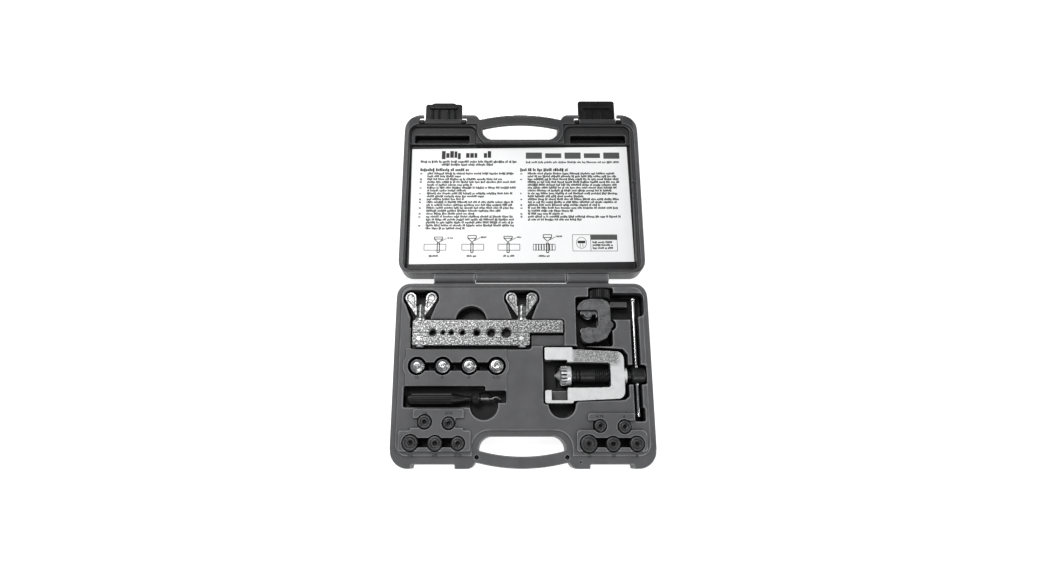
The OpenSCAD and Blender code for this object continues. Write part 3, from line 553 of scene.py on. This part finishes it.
def grey_casting(name):
    """Grey paint on a casting, chipped at random, with a painted highlight on its edges and painted
    shade in its hollows.
    """
    look = Look(name, (0.13, 0.13, 0.133), 0.42, 0.25)
    chips = look.ramp(look.noise(520, 5), [(0.64, 0.0), (0.7, 0.8)])
    coat = look.ramp(look.noise(140, 3), [(0.3, (0.1, 0.1, 0.103)), (0.7, (0.19, 0.19, 0.193))])
    painted = look.mixed(chips, coat, (0.42, 0.42, 0.42))
    # Painted highlight along the edges; the hollows below get painted shade.
    rims = look.ramp(look.edges(), [(0.52, 0.0), (0.58, 0.7)])
    look.color(look.painted_hollow_shade(look.mixed(rims, painted, (0.42, 0.42, 0.42)), 6))
    look.rough(look.noise(420, 3), 0.3, 0.55)
    return look.bump((look.noise(360, 3), 0.14), (look.noise(1500, 2), 0.02)).material


def turned_metal(name, color, low, high):
    """Turned on a lathe about an upright axis: the sheen runs round the axis."""
    look = Look(name, color, (low + high) / 2, 1.0, Anisotropic=0.75)
    tangent = look.nodes.new("ShaderNodeTangent")
    tangent.direction_type = "RADIAL"
    tangent.axis = "Z"
    look.links.new(tangent.outputs["Tangent"], look.shader.inputs["Tangent"])
    tone = look.ramp(look.noise(260, 4), [(0.32, scaled(color, 0.6)), (0.66, scaled(color, 1.15))])
    look.color(tone)
    look.rough(look.noise(900, 3), low, high)
    return look.bump((look.noise(700, 3), 0.02)).material


def card_stock(name):
    """White coated card; a slight glow keeps it white where the light falls off."""
    look = Look(name, (0.95, 0.95, 0.95), 0.35, Emission_Color=(1, 1, 1, 1), Emission_Strength=0.2)
    tone = look.ramp(look.noise(25, 3), [(0.3, (0.93, 0.93, 0.935)), (0.7, (0.98, 0.98, 0.98))])
    look.color(tone)
    look.rough(look.noise(300, 3), 0.28, 0.42)
    return look.bump((look.noise(14, 2), 0.4), (look.noise(1800, 2), 0.006)).material


def ink(name, grey):
    """Printing ink with slight unevenness; the size marks use its flat dark tone as painted shade.
    """
    look = Look(name, (grey,) * 3, 0.5)
    look.color(look.ramp(look.noise(1500, 3), [(0.3, grey * 0.8), (0.7, grey * 1.3 + 0.01)]))
    return look.material


BASE_GREY = (0.135, 0.135, 0.138)
LID_GREY = (0.122, 0.122, 0.126)
BASE_RIM_MM = 30
LID_RIM_MM = 34
# Painted shade by height: each half's hollows darken towards their floors. The lid's deck is
# painted darker than the hinge knuckles above it, which gives the knuckles a painted highlight.
BASE_SHADES = [(0.43, 0.12), (0.55, 0.25), (0.75, 0.78), (0.93, 1.0)]
LID_SHADES = [(0.25, 0.04), (0.45, 0.22), (0.75, 0.4), (0.82, 0.46), (0.84, 0.46), (0.88, 1.0)]
BASE_WALLS = (("X", -141.5, -139), ("X", 141.5, 139), ("Y", -101, -98), ("Y", 101.5, 99.5))
LID_WALLS = (("X", -139.5, -137), ("X", 139.5, 137), ("Y", 115.5, 117.5), ("Y", 318, 315))
MATERIALS = {
    "case_base_plastic": moulded_plastic("case_base_plastic", BASE_GREY, 0.45, BASE_RIM_MM,
                                         BASE_SHADES, BASE_WALLS),
    "case_lid_plastic": moulded_plastic("case_lid_plastic", LID_GREY, 0.42, LID_RIM_MM,
                                        LID_SHADES, LID_WALLS),
    "hinge_steel": polished_metal("hinge_steel", (0.55, 0.55, 0.56), 0.25, 0.45, (0.05, 1, 1)),
    "printed_card": card_stock("printed_card"),
    "latch_plastic": gloss_plastic("latch_plastic"),
    "bar_zinc": speckled_zinc("bar_zinc", 0.045, 0.31, 0.8),
    "nut_zinc": plated_zinc("nut_zinc"),
    "bright_steel": polished_metal("bright_steel", (0.9, 0.9, 0.91), 0.2, 0.45, (1, 1, 1), 0.01,
                                   0.6),
    "yoke_silver": silver_paint("yoke_silver"),
    "black_oxide": oxide("black_oxide", (0.034, 0.034, 0.035), 0.24, 0.5),
    "tbar_chrome": polished_metal("tbar_chrome", (0.82, 0.82, 0.83), 0.06, 0.2, (1, 0.06, 1)),
    "cutter_grey": grey_casting("cutter_grey"),
    "knob_black": oxide("knob_black", (0.006, 0.006, 0.006), 0.35, 0.55, 0.1),
    "handle_black": oxide("handle_black", (0.012, 0.012, 0.012), 0.28, 0.5, 0.3),
    "adapter_zinc": turned_metal("adapter_zinc", (0.66, 0.66, 0.66), 0.18, 0.36),
    "adapter_dark": oxide("adapter_dark", (0.085, 0.085, 0.087), 0.3, 0.5, 0.7),
}
DULL_NODES = ("cutter_slide", "cutting_wheel", "wheel_axle", "roller_left", "roller_right",
              "roller_pin_left", "roller_pin_right", "deburr_shank", "deburr_blade")
DARK_STEEL = polished_metal("dark_steel", (0.2, 0.2, 0.205), 0.25, 0.5, (1, 1, 1), 0.01)
INK_DARK = ink("ink_dark", 0.008)
INK_GREY = ink("ink_grey", 0.09)
# The size marks are moulded in the tray's own plastic; this dark tone on them is painted shade.
SIZE_MARK_SHADE = ink("size_mark", 0.03)


# ---- The case ----

CASE_VOXEL = 0.7
PART_VOXEL = 0.4


def make_case():
    softened("case_base", CASE_VOXEL, 2, 195000)
    softened("case_lid", CASE_VOXEL, 2, 150000)
    for side in ("left", "right"):
        softened("latch_" + side, PART_VOXEL, 2, 26000)


# ---- Flaring bar ----

def make_bar():
    for half in ("bar_long_half", "bar_short_half"):
        softened(half, PART_VOXEL, 2, 60000)
    for side in ("left", "right"):
        softened("wing_nut_" + side, 0.32, 3, 30000)
        make_bolt(side)


def make_bolt(side):
    """Clamp bolt with a peened head below the bar and a real thread under the wing nut."""
    low, high = box_mm("clamp_bolt_" + side)
    middle = (low + high) / 2
    head_end = low.y + 1.9
    profile = [(low.y, 0), (low.y, 3.4), (low.y + 0.9, 4.6), (head_end, 4.6), (head_end, 3.0),
               (high.y - 0.8, 3.0), (high.y, 2.2), (high.y, 0)]
    profile = dense(rounded(profile, 0.4), 0.25)
    bolt = lathe(f"clamp_bolt_{side}_turned", profile, "y", (middle.x, middle.z),
                 thread(1.0, 0.5, high.y - 17, high.y - 0.4), turns=40)
    stand_for(bolt, "clamp_bolt_" + side)


# ---- Yoke, feed screw and T-bar ----

YOKE_AXIS = (-2.8, 22.5)  # Y and Z of the feed screw, the cone and its collar
COLLAR_END_X = 63.2
THREAD_X = (80, 115)
CONE_RIM_X = 41.5
SLEEVE_GROOVE_X = 59.2
HUB_LENGTH = 14.8


def make_yoke():
    softened("yoke_frame", 0.5, 4, 50000)
    make_feed_screw()
    make_cone()
    make_t_bar()


def make_feed_screw():
    """Coarse feed thread, plain shank and the round hub that the T-bar slides through."""
    low, high = box_mm("feed_screw")
    hub = high.x - HUB_LENGTH
    profile = [(low.x, 0), (low.x, 2.8), (low.x + 1.6, 4.4), (low.x + 3.4, 4.3), (low.x + 4.6, 3.2),
               (COLLAR_END_X, 3.2), (COLLAR_END_X, 6.3), (COLLAR_END_X + 1.2, 7.5),
               (THREAD_X[1] + 0.6, 7.5), (THREAD_X[1] + 1, 5.4), (hub, 5.4), (hub, 8.2),
               (hub + 1.2, 9.2), (high.x - 1.2, 9.2), (high.x, 8.2), (high.x, 5.0),
               (high.x - 0.6, 4.4), (high.x - 0.6, 0)]
    screw = lathe("feed_screw_turned", dense(rounded(profile, 0.4), 0.3), "x", YOKE_AXIS,
                  thread(2.2, 1.0, *THREAD_X), turns=64)
    stand_for(screw, "feed_screw")


def make_cone():
    """The flaring cone, its fluted collar and the grooved sleeve behind it."""
    low, high = box_mm("flare_cone")
    profile = [(low.x, 0), (low.x, 0.6), (CONE_RIM_X, 6.0), (CONE_RIM_X, 5.0), (high.x, 5.0),
               (high.x, 0)]
    cone = lathe("flare_cone_turned", dense(rounded(profile, 0.3), 0.8), "x", YOKE_AXIS)
    stand_for(cone, "flare_cone")
    low, high = box_mm("cone_collar")
    profile = [(low.x, 5.05), (low.x, 8.2), (low.x + 1.2, 10.7), (high.x - 1.0, 10.7),
               (high.x, 9.8), (high.x, 5.05)]
    collar = lathe("cone_collar_crown", dense(rounded(profile, 0.4), 0.4), "x", YOKE_AXIS,
                   flutes(16, 2.4, 1.2, low.x - 2, low.x + 7.6), turns=192)
    stand_for(collar, "cone_collar")
    low, high = box_mm("cone_sleeve")
    groove = SLEEVE_GROOVE_X
    profile = [(low.x, 4.66), (low.x, 6.4), (low.x + 0.5, 6.8), (groove, 6.8), (groove + 0.4, 6.0),
               (groove + 0.6, 6.0), (groove + 1, 6.8), (high.x - 0.5, 6.8), (high.x, 6.3),
               (high.x, 3.3)]
    sleeve = lathe("cone_sleeve_turned", rounded(profile, 0.25), "x", YOKE_AXIS)
    stand_for(sleeve, "cone_sleeve")


def make_t_bar():
    """A plain rod with a swelling at each end that keeps it in the hub."""
    low, high = box_mm("t_bar")
    middle = (low + high) / 2
    ends = [(0, 0), (0, 1.6), (0.8, 2.6), (2.2, 2.9), (3.4, 2.7), (4.4, 2.3)]
    profile = [(low.y + a, r) for a, r in ends] + [(high.y - a, r) for a, r in reversed(ends)]
    bar = lathe("t_bar_turned", dense(rounded(profile, 0.6, 4), 3), "y", (middle.x, middle.z),
                turns=40)
    stand_for(bar, "t_bar")


# ---- Tube cutter ----

CUTTER_THREAD_END_Y = 84


def make_cutter():
    softened("cutter_body", 0.42, 4, 50000)
    softened("cutter_slide", 0.3, 2, 16000)
    make_knob()
    make_cutter_screw()
    make_rollers()


def make_knob():
    """A knob with a serrated edge and a dished end."""
    low, high = box_mm("cutter_knob")
    middle = (low + high) / 2
    radius = (high.x - low.x) / 2
    profile = [(low.y, 3.1), (low.y, radius - 1.6), (low.y + 1.2, radius), (high.y - 1.2, radius),
               (high.y, radius - 1.4), (high.y, radius - 3.6), (high.y - 1.2, radius - 4.2),
               (high.y - 1.3, 3.1)]
    knob = lathe("cutter_knob_knurled", dense(rounded(profile, 0.4), 0.45), "y",
                 (middle.x, middle.z), flutes(36, 0.7, 0.8, low.y - 1, high.y + 1), turns=288)
    stand_for(knob, "cutter_knob")


def make_cutter_screw():
    low, high = box_mm("cutter_screw")
    middle = (low + high) / 2
    profile = [(low.y, 0), (low.y, 2.4), (low.y + 0.6, 3.0), (high.y - 0.4, 3.0), (high.y, 2.6),
               (high.y, 0)]
    screw = lathe("cutter_screw_turned", dense(profile, 0.2), "y", (middle.x, middle.z),
                  thread(1.0, 0.45, low.y + 0.6, CUTTER_THREAD_END_Y), turns=40)
    stand_for(screw, "cutter_screw")


def make_rollers():
    """Rollers with a groove round the middle, where the tube turns."""
    for side in ("left", "right"):
        low, high = box_mm("roller_" + side)
        middle = (low + high) / 2
        profile = [(low.z, 1.6), (low.z, 3.8), (low.z + 0.4, 4.2), (middle.z - 1.2, 4.2),
                   (middle.z, 3.5), (middle.z + 1.2, 4.2), (high.z - 0.4, 4.2), (high.z, 3.8),
                   (high.z, 1.6)]
        roller = lathe(f"roller_{side}_turned", rounded(profile, 0.3), "z", (middle.x, middle.y))
        stand_for(roller, "roller_" + side)


# ---- Deburring tool ----

GRIP_END_X = -79
NECK_X = -66
SHANK_THREAD_X = (-64.2, -57)


def make_deburring_tool():
    """A fluted handle, a knurled collar, a shank with a short thread and a hooked blade."""
    low, high = box_mm("deburr_handle")
    axis = ((low.y + high.y) / 2, (low.z + high.z) / 2)
    profile = [(low.x, 0), (low.x, 4.2), (low.x + 1.4, 6.1), (low.x + 3.2, 6.4),
               (GRIP_END_X, 6.4), (GRIP_END_X + 3, 6.2), (NECK_X, 3.9), (high.x, 3.8),
               (high.x, 2.5)]
    handle = lathe("deburr_handle_fluted", dense(rounded(profile, 1.0, 4), 1.2), "x", axis,
                   flutes(8, 1.0, 0.7, low.x + 3.6, GRIP_END_X + 2), turns=144)
    stand_for(handle, "deburr_handle")
    low, high = box_mm("deburr_collar")
    profile = [(low.x, 2.5), (low.x, 4.4), (low.x + 1.5, 6.0), (high.x - 2.1, 6.0), (high.x, 3.9),
               (high.x, 2.5)]
    collar = lathe("deburr_collar_knurled", dense(rounded(profile, 0.3), 0.22), "x", axis,
                   diamonds(22, 1.7, 0.55, low.x + 1.6, high.x - 2.2), turns=176)
    stand_for(collar, "deburr_collar")
    low, high = box_mm("deburr_shank")
    start, end = SHANK_THREAD_X
    profile = [(low.x, 0), (low.x, 2.4), (start - 0.1, 2.4), (start, 3.4), (end, 3.4),
               (end + 0.2, 2.4), (high.x - 0.8, 2.4), (high.x, 1.9), (high.x, 1.4)]
    shank = lathe("deburr_shank_threaded", dense(profile, 0.2), "x", axis,
                  thread(1.4, 0.7, start, end), turns=48)
    stand_for(shank, "deburr_shank")
    softened("deburr_blade", 0.22, 2, 8000)


# ---- Adapters ----

PILOT_RADIUS = {"1": 2.4, "2": 3.2, "3": 4.0, "4": 4.8}


def ringed(angle, along, radius):
    """Leaves the radius as it is, apart from a slight lathe chatter."""
    chatter = 0.0012
    return radius * (1 + chatter * math.sin(14 * angle + 3 * along))


def make_adapters():
    for node in frame["nodes"]:
        if node.startswith("bubble_adapter"):
            make_bubble_adapter(node)
        elif "_adapter_" in node:
            make_flare_adapter(node)


def make_bubble_adapter(node):
    """Bright turned plug: stepped cone on top, a bore in its middle and a groove round the head."""
    low, high = box_mm(node)
    middle = (low + high) / 2
    radius = (high.x - low.x) / 2
    pilot = PILOT_RADIUS[node[-1]]
    top = high.z
    profile = [(low.z, 0), (low.z, radius - 1), (low.z + 1, radius), (top - 9.5, radius),
               (top - 9.0, radius - 0.6), (top - 8.5, radius), (top - 5.0, radius),
               (top - 3.6, radius - 1.2), (top - 3.4, radius - 2.0), (top - 1.8, pilot + 1.4),
               (top - 1.7, pilot), (top - 0.5, pilot - 0.1), (top, pilot - 0.7),
               (top, pilot * 0.45), (top - 2.6, pilot * 0.4), (top - 2.7, 0)]
    plug = lathe(node + "_turned", rounded(profile, 0.35), "z", (middle.x, middle.y), ringed, 96)
    stand_for(plug, node)


def make_flare_adapter(node):
    """Dark head with a raised rim, a ringed cone seat and a pilot pin below."""
    low, high = box_mm(node)
    middle = (low + high) / 2
    radius = (high.x - low.x) / 2
    pin = radius * 0.48
    top = high.z
    profile = [(low.z, 0), (low.z, pin - 0.8), (low.z + 0.8, pin - 0.1), (low.z + 8.6, pin - 0.1),
               (low.z + 10.2, radius - 1.6), (low.z + 11.2, radius), (top - 1.4, radius),
               (top - 0.3, radius - 0.5), (top, radius - 1.2), (top, radius - 2.4),
               (top - 0.9, radius - 2.9), (top - 0.9, radius - 3.4), (top - 0.5, radius - 3.7),
               (top - 0.5, radius * 0.36), (top - 1.1, radius * 0.33), (top - 1.9, 1.9),
               (top - 2.2, 1.6), (top - 5.0, 1.5), (top - 5.0, 0)]
    head = lathe(node + "_turned", rounded(profile, 0.3), "z", (middle.x, middle.y), ringed, 96)
    stand_for(head, node)


# ---- Print and size marks ----

INK_LIFT_MM = 0.02
GREY_LIFT_MM = 0.005
LINE_PITCH_MM = 3.77


def printed(name, marks, z, material):
    """One mesh of flat ink on the card, from marks that are given by their corners in mm."""
    verts = []
    faces = []
    for mark in marks:
        start = len(verts)
        verts += [(x, y, z) for x, y in mark]
        faces.append(tuple(range(start, start + len(mark))))
    piece = add_piece(name, verts, faces)
    piece.data.materials.append(material)
    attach(piece, "case_lid")


def rectangle(x0, y0, x1, y1):
    """The four corners of a filled mark."""
    return [(x0, y0), (x1, y0), (x1, y1), (x0, y1)]


def stroke(a, b, width):
    """A straight line of ink from a to b."""
    a, b = Vector(a), Vector(b)
    side = (b - a).normalized().orthogonal() * width / 2
    return [tuple(a + side), tuple(a - side), tuple(b - side), tuple(b + side)]


def outline(x0, y0, x1, y1, width):
    """The four edges of a rectangle."""
    corners = rectangle(x0, y0, x1, y1)
    return [stroke(a, b, width) for a, b in zip(corners, corners[1:] + corners[:1])]


def greek_line(rng, x0, x1, y, size):
    """A line of illegible print: words of small blocks, some with ascenders or descenders."""
    marks = []
    x = x0
    while x < x1 - size:
        for _ in range(rng.randint(2, 8)):
            wide = size * rng.uniform(0.36, 0.52)
            if x + wide > x1:
                break
            rise = size * rng.choice((0.0, 0.0, 0.25, 0.3))
            drop = size * rng.choice((0.0, 0.0, 0.0, 0.2))
            marks.append(rectangle(x, y - drop, x + wide, y + size * 0.7 + rise))
            x += wide + size * 0.09
        x += size * 0.36
    return marks


def make_card_print():
    """The card's layout with its words replaced by blocks, and plain line figures."""
    rng = random.Random(11)
    _, top = box_mm("instruction_card")
    dark = []
    # The title, the two lines under it, the two headings and their paragraphs.
    for x0, x1 in ((-98, -72), (-68, -50), (-46, -34)):
        dark += greek_line(rng, x0, x1, 266.8, 9.2)
    dark += greek_line(rng, -124, -4, 260.2, 3.1)
    dark += greek_line(rng, -98, -34, 256.2, 3.1)
    dark += greek_line(rng, -124, -64, 248.8, 4.0)
    dark += greek_line(rng, -1, 58, 248.8, 4.0)
    dark += greek_block(rng, -124, -115, -6, 244.4, (2, 1, 2, 2, 2, 1, 2, 2, 1, 3, 2))
    dark += greek_block(rng, -1, 8, 121, 244.4, (2, 5, 2, 2, 1, 2, 1, 2))
    # The four figures and the framed notice beside them.
    for i, x in enumerate((-116, -71, -28, 14)):
        dark += bar_figure(rng, x, 146.5, i)
    dark += outline(61, 145.5, 114, 166, 0.6)
    dark.append(stroke((82.5, 145.5), (82.5, 166), 0.6))
    dark += tube_symbol(71.5, 155.8)
    for y in (155.4, 151.8, 148.2):
        dark += greek_line(rng, 84.5, 110, y, 2.5)
    printed("card_print_dark", dark, top.z + INK_LIFT_MM, INK_DARK)
    # The notice's header bar, then plain bars with a line under them at the top right.
    grey = [rectangle(82.8, 159.5, 113.7, 165.6)]
    grey += [rectangle(6 + i * 24, 265.5 + i % 2, 26 + i * 24, 274.0 - i % 2) for i in range(5)]
    grey += greek_line(rng, 6, 122, 259.6, 2.9)
    printed("card_print_grey", grey, top.z + INK_LIFT_MM + GREY_LIFT_MM, INK_GREY)


def greek_block(rng, bullet_x, x0, x1, top_y, counts):
    """Numbered paragraphs; counts holds the number of lines in each."""
    marks = []
    y = top_y
    for count in counts:
        marks += greek_line(rng, bullet_x, bullet_x + 2.6, y, 2.4)
        for line in range(count):
            if line < count - 1:
                end = x1 - rng.uniform(0, 4)
            else:
                end = x0 + (x1 - x0) * rng.uniform(0.35, 1)
            marks += greek_line(rng, x0, end, y, 2.85)
            y -= LINE_PITCH_MM
    return marks


def bar_figure(rng, x, y, kind):
    """A small line figure: the bar in section, a tube through it, and what presses on the tube."""
    tube = x + (17, 12, 12, 17)[kind]
    marks = outline(x, y, x + 26, y + 7.5, 0.75)
    marks += outline(tube - 1.3, y - 3, tube + 1.3, y + 9, 1.1)
    if kind == 3:
        marks += [stroke((x + i * 3.2, y), (x + i * 3.2, y + 7.5), 1.3) for i in range(1, 8)]
    tip = y + 9 + (0, 1, 1, 2)[kind]
    marks += [stroke((tube + side * 5, tip + 5), (tube, tip), 1.0) for side in (-1, 1)]
    marks += outline(tube - 5, tip + 5, tube + 5, tip + 7.5 + kind % 2, 1.0)
    marks.append(stroke((tube + 3, tip + 2), (tube + 10, tip + 6), 0.7))
    marks += greek_line(rng, tube + 10.5, tube + 18, tip + 5.5, 2.0)
    return marks + greek_line(rng, x + 6, x + 20, y - 8.2, 2.4)


def tube_symbol(x, y):
    """A plain ring with a flared tube end inside it."""
    marks = []
    steps = 24
    for i in range(steps):
        a, b = (2 * math.pi * j / steps for j in (i, i + 1))
        start = (x + 6 * math.cos(a), y + 7 * math.sin(a))
        end = (x + 6 * math.cos(b), y + 7 * math.sin(b))
        marks.append(stroke(start, end, 0.6))
    marks.append(rectangle(x - 4.6, y - 0.6, x + 4.6, y + 2.6))
    marks += [stroke((side, y - 5.5), (side, y - 0.6), 0.6) for side in (x - 1.6, x + 1.6)]
    return marks


# Node: the words on its mark, and the mark's Y.
SIZE_MARKS = {
    "bubble_adapter_1": ("10", -5.6),
    "bubble_adapter_2": ("8", -5.6),
    "bubble_adapter_3": ("6", -5.6),
    "bubble_adapter_4": ("4.75", -5.6),
    "left_adapter_1": ("1/4", -44.4),
    "left_adapter_2": ("3/16", -44.4),
    "left_adapter_3": ("1/2", -88.0),
    "left_adapter_4": ("3/8", -88.0),
    "left_adapter_5": ("5/16", -88.0),
    "right_adapter_1": ("4.75", -48.1),
    "right_adapter_2": ("6", -48.1),
    "right_adapter_3": ("12", -88.6),
    "right_adapter_4": ("10", -88.6),
    "right_adapter_5": ("8", -88.6),
}
MARK_SIZE_MM = 4.6
MARK_RISE_MM = 0.18


def make_size_marks():
    """Tube sizes raised on the tray beside each adapter, in line with its middle, and coloured dark
    as painted shade for the shadows in their relief.
    """
    base = frame["nodes"]["case_base"].data
    surface = BVHTree.FromPolygons([v.co for v in base.vertices],
                                   [f.vertices for f in base.polygons])
    for node, (words, y) in SIZE_MARKS.items():
        low, high = box_mm(node)
        x = (low.x + high.x) / 2
        curve = bpy.data.curves.new("size_mark_" + node, "FONT")
        curve.body = words
        curve.size = MARK_SIZE_MM * MM
        curve.align_x = "CENTER"
        curve.align_y = "CENTER"
        curve.extrude = MARK_RISE_MM * MM
        curve.resolution_u = 3
        text = bpy.data.objects.new(curve.name, curve)
        bpy.context.scene.collection.objects.link(text)
        view = bpy.context.evaluated_depsgraph_get()
        mesh = bpy.data.meshes.new_from_object(text.evaluated_get(view))
        bpy.data.objects.remove(text)
        piece = bpy.data.objects.new("size_mark_" + node, mesh)
        top = surface.ray_cast(Vector((x * MM, y * MM, 0.1)), Vector((0, 0, -1)))[0]
        piece.location = (x * MM, y * MM, top.z)
        bpy.context.scene.collection.objects.link(piece)
        mesh.materials.clear()
        mesh.materials.append(SIZE_MARK_SHADE)
        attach(piece, "case_base")


# ---- Everything, in order ----

def paint_cad_nodes():
    """Gives the CAD nodes their materials; those that no piece replaces are seen as they are."""
    for name, node in frame["nodes"].items():
        paint(node, name)
        node.data.shade_smooth()
        normals = node.modifiers.new("normals", "WEIGHTED_NORMAL")
        normals.keep_sharp = True


make_camera()
make_floor()
make_lights()
paint_cad_nodes()
make_case()
make_bar()
make_yoke()
make_cutter()
make_deburring_tool()
make_adapters()
make_card_print()
make_size_marks()
